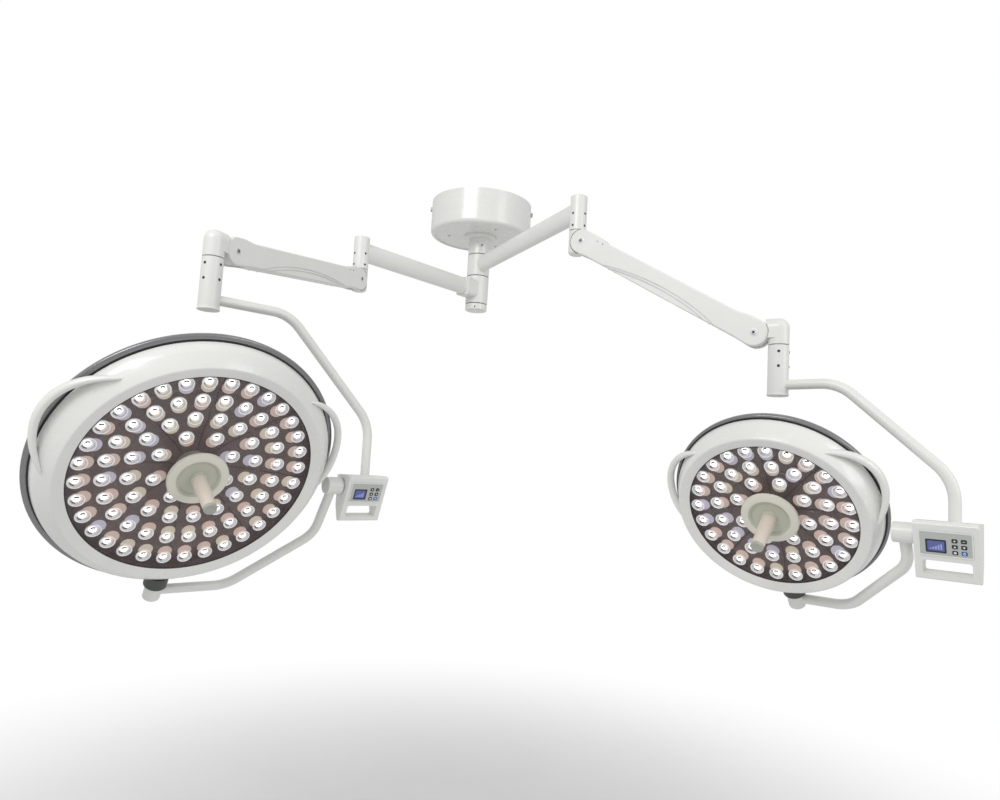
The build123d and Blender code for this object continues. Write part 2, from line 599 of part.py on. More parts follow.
def ring_envelope(side):
    """Everything inside the front ring's outer surface."""
    closing = Polyline((side.head_r, RING_END), (20, RING_END), (20, WINDOW_Z + 1.4),
                       (side.window_r, WINDOW_Z + 1.4))
    return turned(*ring_outer_lines(side), closing)


def rear_cover(side):
    """Domed metal cover with an inner lip that centres it in the front ring."""
    r, t, top = side.head_r, SHELL, RING_END - SEAM
    outer = [
        Line((r, top), (r, -8)),
        Bezier((r, -8), (r - 2, -30), (r * 0.86, -35)),
        Bezier((r * 0.86, -35), (r * 0.5, REAR_DEPTH), (r * 0.12, REAR_DEPTH)),
    ]
    inner = [
        Line((r * 0.12, REAR_DEPTH), (r * 0.12, REAR_DEPTH + t)),
        Bezier((r * 0.12, REAR_DEPTH + t), (r * 0.5, REAR_DEPTH + t), (r * 0.86 - 1, -35 + t)),
        Bezier((r * 0.86 - 1, -35 + t), (r - t - 4, -27), (r - 6, -8)),
        Polyline((r - 6, -8), (r - 6, RING_END + 6), (r - t - 0.5, RING_END + 6), (r - t - 0.5, top), (r, top)),
    ]
    dome = turned(*outer, *inner)
    dome += rod_between(r * 0.12 + 1, REAR_DEPTH, REAR_DEPTH + t)
    return dome - collar_room(side, TILT_COLLAR_R + 0.5)


def window(side):
    pane = rod_between(side.window_r + 6, WINDOW_Z - WINDOW_T, WINDOW_Z)
    return pane - rod_between(HANDLE_HOLE_R, 0, 90)


def led_carrier(side):
    """Dished plate that the lens cups stand on."""
    points = [(r, WINDOW_Z - depth - LENS_H - 0.2) for r, count, depth in side.rings]
    steps = []
    for r, z in points:
        steps += [(r + LENS_R + 1, z), (r - LENS_R - 1, z)]
    rim = side.window_r + 14
    hub_z = points[-1][1]
    top = [(rim, WINDOW_Z - WINDOW_T - 0.4), (rim - 4, WINDOW_Z - WINDOW_T - 0.4), (rim - 6, points[0][1] + 2)]
    top += steps + [(40, hub_z)]
    low = [(40, hub_z - 5), (points[-1][0] - LENS_R - 1, hub_z - 5), (points[0][0] + LENS_R, points[0][1] - 5),
           (rim, points[0][1] - 2)]
    return turned_outline(top + low)


def lens_cups(side):
    cup = Cone(LENS_FOOT_R, LENS_R, LENS_H - 2.5) + Pos(0, 0, LENS_H / 2) * Cylinder(LENS_R, 2.5)
    cup = Pos(0, 0, -LENS_H / 2 - 1.25) * cup
    cups = []
    for radius, count, depth in side.rings:
        for spot in PolarLocations(radius, count, start_angle=side.led_turn - 90 + 180 / count):
            cups.append(Pos(0, 0, WINDOW_Z - depth) * spot * cup)
    return Compound(children=cups)


def handle_base(side):
    """Centre disc with a recessed cup, a neck down to the carrier and the grip's spindle."""
    r, cup, z = HANDLE_DISC_R, HANDLE_CUP_R, WINDOW_Z
    foot = WINDOW_Z - side.rings[-1][2] - LENS_H - 0.2
    outline = [
        (0, foot), (39.5, foot), (39.5, z + 0.2), (r - 2, z + 0.2), (r, z + 2.5), (r, z + 5), (r - 3, z + 8),
        (cup + 5, z + 9.5), (cup, z + 7), (cup - 3, z + 3.5), (20, z + 5), (GRIP_BASE_R - 1, z + 12),
        (GRIP_SPINDLE_R, z + 12), (GRIP_SPINDLE_R, z + 70), (0, z + 70),
    ]
    return turned_outline(outline)


def sterile_grip():
    """Tapered removable grip over the spindle."""
    start, end = GRIP_START, GRIP_END
    outline = [(0, end), (GRIP_TIP_R - 2, end), (GRIP_TIP_R, end - 2), (GRIP_BASE_R, start),
               (GRIP_SPINDLE_R + FIT, start), (GRIP_SPINDLE_R + FIT, WINDOW_Z + 71), (0, WINDOW_Z + 71)]
    return turned_outline(outline)


def handle_section(side, t):
    """Oval section of a side handle: t runs from -1 at one leaf-shaped tip to 1 at the other."""
    bulge = cos(t * pi / 2)
    fullness = sqrt(1 - abs(t) ** 5)
    radius = side.head_r - 27 + (SIDE_HANDLE_OUT + 27) * bulge ** 0.9
    angle = t * side.handle_span
    centre = Vector(radius, 0, 42 - 26 * bulge).rotate(Axis.Z, angle)
    along = Vector(0, 1, 0).rotate(Axis.Z, angle * 0.55)
    plane = Plane(origin=centre, x_dir=(0, 0, 1), z_dir=along)
    oval = Ellipse(1.0 + SIDE_HANDLE_W / 2 * fullness, 0.8 + SIDE_HANDLE_T / 2 * fullness)
    return plane * oval


def side_handles(side):
    """Two crescent handles whose leaf-shaped ends lie on the front ring."""
    envelope = ring_envelope(side)
    handles = []
    for at in (-90 - SIDE_HANDLE_AT, -90 + SIDE_HANDLE_AT):
        grip = loft([handle_section(side, t) for t in HANDLE_STATIONS])
        handles.append(Rot(0, 0, at) * grip - envelope)
    return Compound(children=handles)


# ================================================================ the whole object
def build_column():
    save("ceiling_plate", ceiling_plate())
    save("column_shaft", column_shaft())
    save("canopy_cover", canopy_cover())
    save("column_collar", column_collar())
    save("column_bushes", column_bushes())
    save("column_end_cap", column_end_cap())
    save("power_supplies", power_supplies())
    save("ceiling_screws", ceiling_screws())


def build_side(side):
    name, frame = side.name, yoke_frame(side)
    save(f"{name}_arm", arm(side), arm_frame(side))
    save(f"{name}_base_knuckle", base_knuckle(), elbow_frame(side))
    save(f"{name}_spring_arm", spring_arm(), spring_frame(side))
    save(f"{name}_pivot_pins", pivot_pins(), spring_frame(side))
    save(f"{name}_balance_spring", balance_spring(), spring_frame(side))
    rod_frame = elbow_frame(side) * Location((KNUCKLE_REACH, 0, -ROD_OFFSET), (0, -side.lift, 0))
    save(f"{name}_level_rod", level_rod(), rod_frame)
    save(f"{name}_end_knuckle", end_knuckle(), end_frame(side))
    save(f"{name}_swivel_yoke", swivel_yoke(side), frame)
    save(f"{name}_control_box", control_box(), box_frame(side))
    save(f"{name}_control_panel", control_panel(), face_frame(side))
    for (x, y), label in zip(key_places(), KEY_NAMES):
        save(f"{name}_key_{label}", key(), face_frame(side) * Location((x, y, 0)))
    save(f"{name}_lower_yoke", lower_yoke(side), swing_frame(side))
    lamp = lamp_frame(side)
    save(f"{name}_tilt_collar", tilt_collar(side), lamp)
    save(f"{name}_front_ring", front_ring(side), lamp)
    save(f"{name}_rear_cover", rear_cover(side), lamp)
    save(f"{name}_window", window(side), lamp)
    save(f"{name}_led_carrier", led_carrier(side), lamp)
    save(f"{name}_led_lenses", lens_cups(side), lamp)
    save(f"{name}_handle_base", handle_base(side), lamp)
    save(f"{name}_sterile_grip", sterile_grip(), lamp)
    save(f"{name}_side_handles", side_handles(side), lamp)


os.makedirs("parts", exist_ok=True)
build_column()
for one in SIDES:
    build_side(one)
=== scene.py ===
"""Looks of the ceiling-mounted surgical light.

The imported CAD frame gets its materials, the visual shells that replace some plainer CAD nodes, and fine
detail: lenses, seams, trim, screws, key signs. Pieces ride on their CAD bodies, so they follow every pose.
"""

import json
import math
import random

import bmesh
import bpy
from mathutils import Matrix, Vector


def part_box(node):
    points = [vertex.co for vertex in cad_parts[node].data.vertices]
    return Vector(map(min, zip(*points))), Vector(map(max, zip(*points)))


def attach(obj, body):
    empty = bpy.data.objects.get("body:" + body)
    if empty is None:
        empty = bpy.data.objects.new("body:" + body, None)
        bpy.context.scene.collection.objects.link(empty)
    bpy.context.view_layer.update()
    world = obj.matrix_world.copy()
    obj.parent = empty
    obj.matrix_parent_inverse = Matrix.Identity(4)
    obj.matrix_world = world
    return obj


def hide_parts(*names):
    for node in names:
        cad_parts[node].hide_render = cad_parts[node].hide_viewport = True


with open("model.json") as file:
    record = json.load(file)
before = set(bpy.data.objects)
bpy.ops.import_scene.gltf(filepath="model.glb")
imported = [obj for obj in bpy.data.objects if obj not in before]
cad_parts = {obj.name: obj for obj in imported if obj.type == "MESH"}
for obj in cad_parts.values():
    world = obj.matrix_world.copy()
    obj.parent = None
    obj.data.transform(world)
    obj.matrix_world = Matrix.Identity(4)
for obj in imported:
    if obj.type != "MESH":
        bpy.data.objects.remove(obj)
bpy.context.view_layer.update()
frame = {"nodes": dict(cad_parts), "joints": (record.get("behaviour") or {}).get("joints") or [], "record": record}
nodes = frame["nodes"]
joints = {joint["name"]: joint for joint in frame["joints"]}
rng = random.Random(7)

MM = 0.001
SIDES = ("large", "small")

# ---------------------------------------------------------------- sizes that scene.py shares with the CAD, mm
# A lens ring is (radius, number of lenses, depth of the lens fronts behind the window). "ring", the visual
# front ring's radius, and "handle_span", half the degrees that a side handle spans, are the looks' own.
HEADS = {
    "large": {"rim": 347.0, "window": 272.5, "led_turn": 2.6, "handle_span": 25.0, "ring": 334.0,
              "rings": ((250.0, 32, 14.0), (197.0, 24, 25.0), (144.0, 16, 35.0), (91.0, 8, 41.0))},
    "small": {"rim": 258.0, "window": 204.0, "led_turn": 1.1, "handle_span": 29.0, "ring": 250.0,
              "rings": ((186.0, 24, 8.0), (137.0, 16, 17.0), (89.0, 8, 23.0))},
}
BEVEL_W, FRONT_Z, REAR_Z = 25.0, 60.0, -48.0
SIDE_HANDLE_AT = 112.5
LENS_R, LENS_H = 17.5, 15.5
HANDLE_DISC_R, GRIP_START, GRIP_END = 70.0, 64.0, 175.0
PANEL_W, PANEL_H = 98.0, 53.0
DISPLAY_W, DISPLAY_H, DISPLAY_AT = 37.0, 28.0, (-18.5, -5.5)
KEY_COLUMNS, KEY_ROWS, KEY_PROUD = (17.0, 34.0), (9.5, -4.0, -17.5), 0.9
WINDOW_Z = 50.0
POST_R = 26.0
SPRING_ARM_L = 604.0
ARM_HALF_W = 25.0
KEY_NAMES = ("brighter", "dimmer", "warmer", "cooler", "endo", "power")

# ---------------------------------------------------------------- sizes of the looks alone, mm
SHARP_CORNER = 38.0  # degrees between faces above which an edge is shaded sharp
RING_STEPS = 160  # sides of the large turned shells
SWOOSH = ((92.0, 515.0, 27.0, 0.0), (118.0, 480.0, 19.0, 0.7))  # start, end, height and depth of creases
LENS_STEPS = 28
LENS_PROFILE = [(8, -15.5), (17.3, -3), (17.5, -0.2), (17.4, 0.5), (16.9, 1.0), (15.4, 1.0), (14.6, 0.2),
                (12.4, -3.2), (10.0, -5.2), (8.2, -6.2), (7.2, -4.2), (4.2, -2.2), (0, -1.6)]
WALL_END, RIM_END, BOWL_END = 3, 6, 9  # first band of the lens profile beyond each part; the core is last
LENS_WALL, LENS_RIM, LENS_BOWL, LENS_MARK, LENS_CORE = range(5)  # material slots of a lens
LENS_MARKS = {7: (195, 265), 10: (35, 150)}  # band: degrees between which a dark reflection lies
GLOW_PROFILE = [(16.5, -2.6), (15.8, -0.8), (12.0, 0.6), (7.0, 1.6), (0, 2.0)]
GLOW_SHIFT, GLOW_SUNK = 13.0, 5.0
GLOW_TINTS = (45, 30, 25)  # share of peach, cream and cool discs of painted light spill, per cent
SEAM_SECTORS, SEAM_HALF_W = 8, 1.3
COVER_SCREWS = 12
POWER_RING_R, POWER_RING_STEPS = 2.9, 24
KEY_RIM_OUTER, KEY_RIM_INNER = (13.4, 11.6, 3.2), (11.2, 9.4, 2.5)  # width, height, corner radius

# ---------------------------------------------------------------- camera and studio, m, degrees and W
CAMERA_PLACE, CAMERA_PITCH, CAMERA_ROLL, CAMERA_LENS = (0.1176, -2.8395, -1.0502), 5.29, 3.28, 25.88
AMBIENT = 0.62  # the backdrop's strength as a light; it is 1 where the camera sees it
KEY_LAMP = ((-1.6, -3.6, 1.4), (2.2, 1.4), 62.0)  # place, size and power
FILL_LAMP = ((2.8, -2.6, 0.2), (1.2, 2.2), 20.0)
STUDIO_MIDDLE = (0.1, -0.7, -0.8)
FLOOR_SIZE, FLOOR_LEVEL = 60.0, -2.7
FLOOR_FADE = (0.8, 3.6)  # distances between which the floor turns into the white backdrop


# ================================================================ local frames, from the joints
def axis_of(name):
    """Unit direction of a joint's axis."""
    return Vector(joints[name]["axis"]).normalized()


def place_of(name):
    """Joint's place in metres."""
    return Vector(joints[name]["pos_m"])


def frame_from(x, y, z, origin):
    """Matrix of a local frame whose unit is the millimetre."""
    turn = Matrix((x, y, z)).transposed().to_4x4()
    return Matrix.Translation(origin) @ turn @ Matrix.Scale(MM, 4)


def lamp_frame(side):
    """Head's centre, +Z along the light and -Y towards the tilt collar."""
    z, y = axis_of(f"{side}_focus_turn"), axis_of(f"{side}_head_tilt")
    return frame_from(y.cross(z), y, z, place_of(f"{side}_head_tilt"))


def face_frame(side):
    """Control panel's centre, +X to its right, +Y up its face and +Z out of it."""
    z = -axis_of(f"{side}_press_power")
    x = axis_of(f"{side}_yoke_swing")
    low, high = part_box(f"{side}_control_panel")
    return frame_from(x, z.cross(x), z, (low + high) / 2 + z * MM)


def spring_frame(side):
    """Spring arm's base pivot, +X towards its far pivot."""
    origin = place_of(f"{side}_arm_lift")
    x = (place_of(f"{side}_end_level") - origin).normalized()
    y = Vector((0, 0, 1)).cross(x).normalized()
    return frame_from(x, y, x.cross(y), origin)


def world_frame(origin):
    """World's directions at the given origin, in millimetres."""
    return Matrix.Translation(origin) @ Matrix.Scale(MM, 4)


def outward(angle, radius, height):
    """Place whose +Z points straight out of an upright cylinder's side."""
    turn = Matrix.Rotation(math.radians(angle), 4, "Z")
    return turn @ Matrix.Translation((radius, 0, height)) @ Matrix.Rotation(math.radians(90), 4, "Y")


# ================================================================ materials
class Shader:
    """A material under construction, with short calls for the nodes that this scene uses."""

    def __init__(self, name):
        self.material = bpy.data.materials.new(name)
        self.material.use_nodes = True
        self.tree = self.material.node_tree
        self.tree.nodes.clear()
        self.output = self.tree.nodes.new("ShaderNodeOutputMaterial")
        self.bsdf = self.tree.nodes.new("ShaderNodeBsdfPrincipled")
        self.tree.links.new(self.bsdf.outputs[0], self.output.inputs[0])
        self.coords = self.tree.nodes.new("ShaderNodeTexCoord").outputs["Object"]

    def put(self, **values):
        """Constant values on the shader's own sockets."""
        for name, value in values.items():
            self.bsdf.inputs[name.replace("_", " ")].default_value = value
        return self

    def link(self, source, target):
        self.tree.links.new(source, target)

    def noise(self, scale, detail):
        """Cloudy noise in the object's own coordinates."""
        node = self.tree.nodes.new("ShaderNodeTexNoise")
        node.inputs["Scale"].default_value = scale
        node.inputs["Detail"].default_value = detail
        node.inputs["Roughness"].default_value = 0.55
        self.link(self.coords, node.inputs["Vector"])
        return node.outputs["Fac"]

    def ramp(self, source, *stops):
        """Colours or grey levels between the stops, each a (position, colour or level) pair."""
        node = self.tree.nodes.new("ShaderNodeValToRGB")
        ramp = node.color_ramp
        while len(ramp.elements) < len(stops):
            ramp.elements.new(0.5)
        for element, (place, color) in zip(ramp.elements, stops):
            element.position = place
            element.color = (*color, 1.0) if isinstance(color, tuple) else (color, color, color, 1.0)
        self.link(source, node.inputs["Fac"])
        return node.outputs["Color"]

    def color(self, source):
        self.link(source, self.bsdf.inputs["Base Color"])
        return self

    def roughness(self, source):
        self.link(source, self.bsdf.inputs["Roughness"])
        return self

    def bump(self, source, strength, distance_mm):
        """Fine relief in the surface's shading."""
        node = self.tree.nodes.new("ShaderNodeBump")
        node.inputs["Strength"].default_value = strength
        node.inputs["Distance"].default_value = distance_mm * MM
        self.link(source, node.inputs["Height"])
        self.link(node.outputs["Normal"], self.bsdf.inputs["Normal"])
        return self


def shade(color, factor):
    """Colour made darker or lighter."""
    return tuple(min(1.0, c * factor) for c in color)


def coated(name, color, rough, grain=900.0, grain_depth=0.05, mottling=0.04, **sockets):
    """Paint or moulded plastic: fine grain, slow mottling and a little unevenness in its gloss."""
    made = Shader(name)
    slow, fine = made.noise(6.0, 3.0), made.noise(grain, 2.0)
    made.color(made.ramp(slow, (0.3, shade(color, 1 - mottling)), (0.7, shade(color, 1 + mottling / 2))))
    made.roughness(made.ramp(made.noise(35.0, 5.0), (0.3, rough * 0.85), (0.75, min(1.0, rough * 1.2))))
    made.bump(fine, 0.06, grain_depth)
    return made.put(**sockets).material


def brushed(name, color, rough, scale=(1.0, 1.0, 30.0)):
    """Turned or brushed metal with fine streaks across one axis."""
    made = Shader(name)
    mapping = made.tree.nodes.new("ShaderNodeMapping")
    mapping.inputs["Scale"].default_value = scale
    made.link(made.coords, mapping.inputs["Vector"])
    streaks = made.tree.nodes.new("ShaderNodeTexNoise")
    streaks.inputs["Scale"].default_value = 60.0
    streaks.inputs["Detail"].default_value = 3.0
    made.link(mapping.outputs["Vector"], streaks.inputs["Vector"])
    made.color(made.ramp(streaks.outputs["Fac"], (0.3, shade(color, 0.85)), (0.7, shade(color, 1.1))))
    made.roughness(made.ramp(streaks.outputs["Fac"], (0.25, rough * 0.7), (0.8, rough * 1.3)))
    made.bump(streaks.outputs["Fac"], 0.15, 0.05)
    return made.put(Metallic=1.0).material


def glowing(name, color, glow, strength, rough=0.35, alpha=1.0):
    """Glowing surface, brighter in its middle tones: translucent lit plastic, an LED's phosphor, and the painted
    glow of the lenses and of their light spill.
    """
    made = Shader(name)
    cloud = made.noise(220.0, 3.0)
    made.color(made.ramp(cloud, (0.3, shade(color, 0.92)), (0.7, color)))
    made.link(made.ramp(cloud, (0.25, shade(glow, 0.85)), (0.75, glow)), made.bsdf.inputs["Emission Color"])
    made.put(Emission_Strength=strength, Roughness=rough)
    if alpha < 1.0:
        made.put(Alpha=alpha)
    return made.material


def window_material():
    """Smoked window, mostly clear and with a gloss."""
    made = Shader("window_smoked")
    made.color(made.ramp(made.noise(3.0, 2.0), (0.3, (0.13, 0.10, 0.105)), (0.7, (0.17, 0.135, 0.14))))
    made.roughness(made.ramp(made.noise(18.0, 5.0), (0.35, 0.03), (0.8, 0.09)))
    return made.put(Alpha=0.16, IOR=1.5, Coat_Weight=0.4, Coat_Roughness=0.03).material


def lens_material():
    """Bright reflector bowl with a faint painted glow."""
    made = Shader("lens_reflector")
    made.color(made.ramp(made.noise(160.0, 2.0), (0.35, (0.80, 0.80, 0.82)), (0.7, (0.97, 0.97, 0.98))))
    made.roughness(made.ramp(made.noise(90.0, 3.0), (0.3, 0.08), (0.7, 0.2)))
    return made.put(Metallic=0.85, Emission_Color=(1, 1, 1, 1), Emission_Strength=0.25).material


WHITE = (0.80, 0.80, 0.775)
MAT = {
    "paint_white": coated("powder_coat_white", WHITE, 0.36, 700.0, 0.06, 0.03, Coat_Weight=0.25,
                          Coat_Roughness=0.2),
    "abs_white": coated("moulded_white", (0.81, 0.81, 0.785), 0.26, 1100.0, 0.03, 0.03, Coat_Weight=0.45,
                        Coat_Roughness=0.12),
    "paint_metallic": coated("metallic_grey", (0.27, 0.27, 0.28), 0.3, 2200.0, 0.03, 0.08, Metallic=0.75,
                             Coat_Weight=0.5, Coat_Roughness=0.1),
    "steel_plate": brushed("zinc_plate", (0.56, 0.57, 0.58), 0.42),
    "steel_pin": brushed("ground_steel", (0.55, 0.55, 0.56), 0.28),
    "spring_steel": brushed("oiled_spring_steel", (0.2, 0.2, 0.21), 0.35),
    "bush": brushed("oiled_bronze", (0.09, 0.075, 0.055), 0.4),
    "supply_case": brushed("anodised_case", (0.45, 0.46, 0.48), 0.45, (30.0, 1.0, 1.0)),
    "collar_dark": coated("collar_charcoal", (0.07, 0.075, 0.07), 0.4, 900.0, 0.05, 0.15),
    "carrier_dark": coated("carrier_umber", (0.185, 0.140, 0.132), 0.22, 500.0, 0.05, 0.25, Coat_Weight=0.6,
                           Coat_Roughness=0.15),
    "disc_cream": coated("disc_sage", (0.55, 0.56, 0.47), 0.42, 900.0, 0.05, 0.05),
    "grip_beige": coated("grip_beige", (0.74, 0.66, 0.57), 0.45, 600.0, 0.08, 0.05),
    "panel_foil": coated("panel_foil", (0.52, 0.55, 0.52), 0.3, 1500.0, 0.02, 0.05, Metallic=0.2),
    "key_black": coated("key_black", (0.018, 0.018, 0.02), 0.35, 900.0, 0.03, 0.2),
    "key_blue": coated("key_blue", (0.015, 0.10, 0.45), 0.3, 900.0, 0.03, 0.1),
    "window_clear": window_material(),
    "lens_clear": lens_material(),
    # lens rim and bowl glow: painted glow on the lens, brightest as a painted highlight on the rim
    "lens_rim": glowing("lens_rim", (0.85, 0.85, 0.86), (1.0, 1.0, 1.0), 0.5, 0.2),
    "lens_bowl": glowing("lens_bowl", (0.70, 0.70, 0.72), (1.0, 1.0, 1.0), 0.14, 0.12),
    "lens_mark": coated("lens_mark", (0.10, 0.09, 0.10), 0.2, 700.0, 0.03, 0.3, Metallic=0.4),
    "seam_dark": coated("carrier_seam", (0.05, 0.038, 0.04), 0.5, 500.0, 0.05, 0.2),
    "disc_rim": coated("disc_rim_cream", (0.76, 0.74, 0.65), 0.34, 900.0, 0.04, 0.04, Coat_Weight=0.3),
    "grip_end": coated("grip_end_grey", (0.42, 0.43, 0.38), 0.5, 700.0, 0.06, 0.08),
    "display_mark": glowing("display_mark", (0.25, 0.28, 0.55), (0.25, 0.28, 0.6), 0.5, 0.2),
    # shadow_gap: the dark of painted shadow in the ring's gap and in the screw sockets; the window gasket wears it
    # too
    "dark_gap": coated("shadow_gap", (0.03, 0.03, 0.03), 0.6, 500.0, 0.05, 0.2),
    "icon_white": coated("icon_print", (0.85, 0.86, 0.86), 0.4, 800.0, 0.02, 0.03),
    # painted shade: grey strips along the spring arm's relief creases
    "crease_painted_shade": coated("crease_painted_shade", (0.60, 0.60, 0.58), 0.4, 900.0, 0.03, 0.05),
    "screw_dark": brushed("blackened_screw", (0.07, 0.07, 0.07), 0.4),
    "display": glowing("display_violet", (0.09, 0.11, 0.27), (0.10, 0.12, 0.34), 0.3, 0.15),
    "display_frame": coated("display_frame", (0.03, 0.03, 0.05), 0.25, 900.0, 0.02, 0.1),
    "led_core": glowing("led_core", (1.0, 1.0, 1.0), (1.0, 0.99, 0.97), 3.0),
    # painted light spill: tinted discs that glow beside the lenses, which are no lamps
    "painted_spill_peach": glowing("painted_spill_peach", (0.80, 0.62, 0.54), (0.95, 0.72, 0.62), 0.52, 0.3, 0.72),
    "painted_spill_cream": glowing("painted_spill_cream", (0.82, 0.74, 0.60), (0.98, 0.86, 0.68), 0.52, 0.3, 0.72),
    "painted_spill_cool": glowing("painted_spill_cool", (0.66, 0.64, 0.74), (0.78, 0.76, 0.92), 0.52, 0.3, 0.72),
}


def dress_cad():
    """Give each carried-over CAD node the finish of its material slot."""
    slots = {part["node"]: part["material_slot"] for part in frame["record"]["subparts"]}
    for name, node in nodes.items():
        node.data.materials.clear()
        node.data.materials.append(MAT[slots[name]])


dress_cad()


# ================================================================ mesh helpers, in millimetres
def revolve(mesh, profile, at=Matrix(), steps=32, slot=0):
    """Add a turned shape from (radius, height) pairs; slot is a number or a rule by band and step."""
    rings = []
    for radius, height in profile:
        around = steps if radius > 1e-6 else 1
        angles = [math.tau * step / steps for step in range(around)]
        points = [Vector((radius * math.cos(a), radius * math.sin(a), height)) for a in angles]
        rings.append([mesh.verts.new(at @ point) for point in points])
    for band, (low, high) in enumerate(zip(rings, rings[1:])):
        for step in range(steps):
            after = (step + 1) % steps
            corners = [low[step % len(low)], low[after % len(low)],
                       high[after % len(high)], high[step % len(high)]]
            face = mesh.faces.new(list(dict.fromkeys(corners)))
            face.smooth = True
            face.material_index = slot(band, step) if callable(slot) else slot


def bridge(mesh, loops, closed=True, smooth=False):
    """Add the faces between each row of vertices and the next."""
    for low, high in zip(loops, loops[1:]):
        for i in range(len(low) if closed else len(low) - 1):
            j = (i + 1) % len(low)
            mesh.faces.new((low[i], low[j], high[j], high[i])).smooth = smooth


def prism(mesh, outline, low, high, at=Matrix(), chamfer=0.15):
    """Add a flat piece with a chamfered front from an outline of (x, y) points."""
    middle = sum((Vector(point) for point in outline), Vector((0, 0))) / len(outline)
    levels = [(low, 0.0), (high - chamfer, 0.0), (high, chamfer)]
    rings = []
    for height, inset in levels:
        ring = []
        for point in outline:
            out = Vector(point) - middle
            spot = middle + out * max(0.0, 1 - inset / max(out.length, 1e-6))
            ring.append(mesh.verts.new(at @ Vector((spot.x, spot.y, height))))
        rings.append(ring)
    bridge(mesh, rings)
    mesh.faces.new(rings[-1])
    mesh.faces.new(rings[0][::-1])


def rounded(width, height, radius, centre=(0.0, 0.0), steps=5):
    """Outline of a rounded rectangle, anticlockwise."""
    points = []
    for corner, (sx, sy) in enumerate(((1, 1), (-1, 1), (-1, -1), (1, -1))):
        cx = centre[0] + sx * (width / 2 - radius)
        cy = centre[1] + sy * (height / 2 - radius)
        for step in range(steps + 1):
            angle = math.radians(90 * corner + 90 * step / steps)
            points.append((cx + radius * math.cos(angle), cy + radius * math.sin(angle)))
    return points


def ring_strip(mesh, outer, inner, low, high, at=Matrix()):
    """Add a raised band between two outlines with the same number of points."""
    loops = []
    for outline, height in ((outer, low), (outer, high), (inner, high), (inner, low)):
        loops.append([mesh.verts.new(at @ Vector((x, y, height))) for x, y in outline])
    bridge(mesh, loops)


def piece(name, mesh, place, body, *slots):
    """Turn a bmesh into an object that rides on the given body, with its sharp corners marked."""
    bmesh.ops.recalc_face_normals(mesh, faces=mesh.faces)
    for edge in mesh.edges:
        if len(edge.link_faces) == 2 and edge.calc_face_angle(0.0) > math.radians(SHARP_CORNER):
            edge.smooth = False
    mesh.transform(place)
    data = bpy.data.meshes.new(name)
    mesh.to_mesh(data)
    mesh.free()
    for slot in slots:
        data.materials.append(MAT[slot])
    made = bpy.data.objects.new(name, data)
    bpy.context.scene.collection.objects.link(made)
    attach(made, body)
    return made


def socket_screw(mesh, at, radius, proud=0.8):
    """Round head in slot 0 with a hexagon socket in slot 1: a flat hexagon, dark with painted shade where a recess
    would be.
    """
    head = [(radius, -1.5), (radius, proud * 0.55), (radius * 0.88, proud), (0, proud)]
    revolve(mesh, head, at, 20)
    # painted shade: the socket is a flat dark hexagon on the head, not a recess
    socket = [(radius * 0.52, proud + 0.02), (radius * 0.30, proud + 0.03), (0, proud + 0.03)]
    revolve(mesh, socket, at, 6, 1)


# ================================================================ lamp heads
def lens_places(side):
    """Centre of every lens's front face, and its direction from the head's centre."""
    head = HEADS[side]
    for radius, count, depth in head["rings"]:
        for index in range(count):
            angle = math.radians(head["led_turn"] - 90 + (index + 0.5) * 360 / count)
            out = Vector((math.cos(angle), math.sin(angle), 0))
            yield out * radius + Vector((0, 0, WINDOW_Z - depth)), out


def lens_slot(band, step):
    """Slot of a lens's face: wall, lit rim, bowl or core, with two dark curved reflections."""
    low, high = LENS_MARKS.get(band, (0, 0))
    if low < step * 360 / LENS_STEPS < high:
        return LENS_MARK
    for end, slot in ((WALL_END, LENS_WALL), (RIM_END, LENS_RIM), (BOWL_END, LENS_BOWL)):
        if band < end:
            return slot
    return LENS_CORE


def add_lenses(side):
    """Lens cups that replace the CAD's plain ones."""
    cups = bmesh.new()
    for centre, _ in lens_places(side):
        revolve(cups, LENS_PROFILE, Matrix.Translation(centre), LENS_STEPS, lens_slot)
    made = piece(f"{side}_lens_optics", cups, lamp_frame(side), f"{side}_head",
                 "lens_clear", "lens_rim", "lens_bowl", "lens_mark", "led_core")
    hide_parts(f"{side}_led_lenses")


def add_painted_spill(side):
    """Emissive discs of painted light spill beside each lens, towards the head's centre."""
    spill = bmesh.new()
    for centre, out in lens_places(side):
        tint = rng.choices((0, 1, 2), weights=GLOW_TINTS)[0]
        spot = centre - out * GLOW_SHIFT + Vector((0, 0, -GLOW_SUNK))
        revolve(spill, GLOW_PROFILE, Matrix.Translation(spot), 20, tint)
    piece(f"{side}_led_painted_spill", spill, lamp_frame(side), f"{side}_head",
          "painted_spill_peach", "painted_spill_cream", "painted_spill_cool")


def carrier_top(side):
    """(radius, height) along the dished carrier from the hub to its rim."""
    head = HEADS[side]
    steps = []
    for radius, _, depth in reversed(head["rings"]):
        height = WINDOW_Z - depth - LENS_H - 0.2
        steps += [(radius - LENS_R - 1, height), (radius + LENS_R + 1, height)]
    return [(41, steps[0][1])] + steps + [(head["window"] + 8, steps[-1][1] + 2)]


def add_carrier_seams(side):
    """Radial seams between the carrier's sectors."""
    seams = bmesh.new()
    path = carrier_top(side)
    section = ((-SEAM_HALF_W, 0.2), (0.0, 0.7), (SEAM_HALF_W, 0.2))
    for sector in range(SEAM_SECTORS):
        spin = Matrix.Rotation(math.radians(sector * 360 / SEAM_SECTORS - 90), 4, "Z")
        rows = []
        for radius, height in path:
            rows.append([seams.verts.new(spin @ Vector((radius, across, height + rise)))
                         for across, rise in section])
        bridge(seams, rows, closed=False)
    piece(f"{side}_carrier_seams", seams, lamp_frame(side), f"{side}_head", "seam_dark")


def arc_points(start, corner, end, steps=8):
    """Points along a quadratic curve from start to end that bends towards the corner."""
    points = []
    for step in range(steps + 1):
        t = step / steps
        points.append(tuple((1 - t) ** 2 * s + 2 * t * (1 - t) * c + t * t * e
                            for s, c, e in zip(start, corner, end)))
    return points


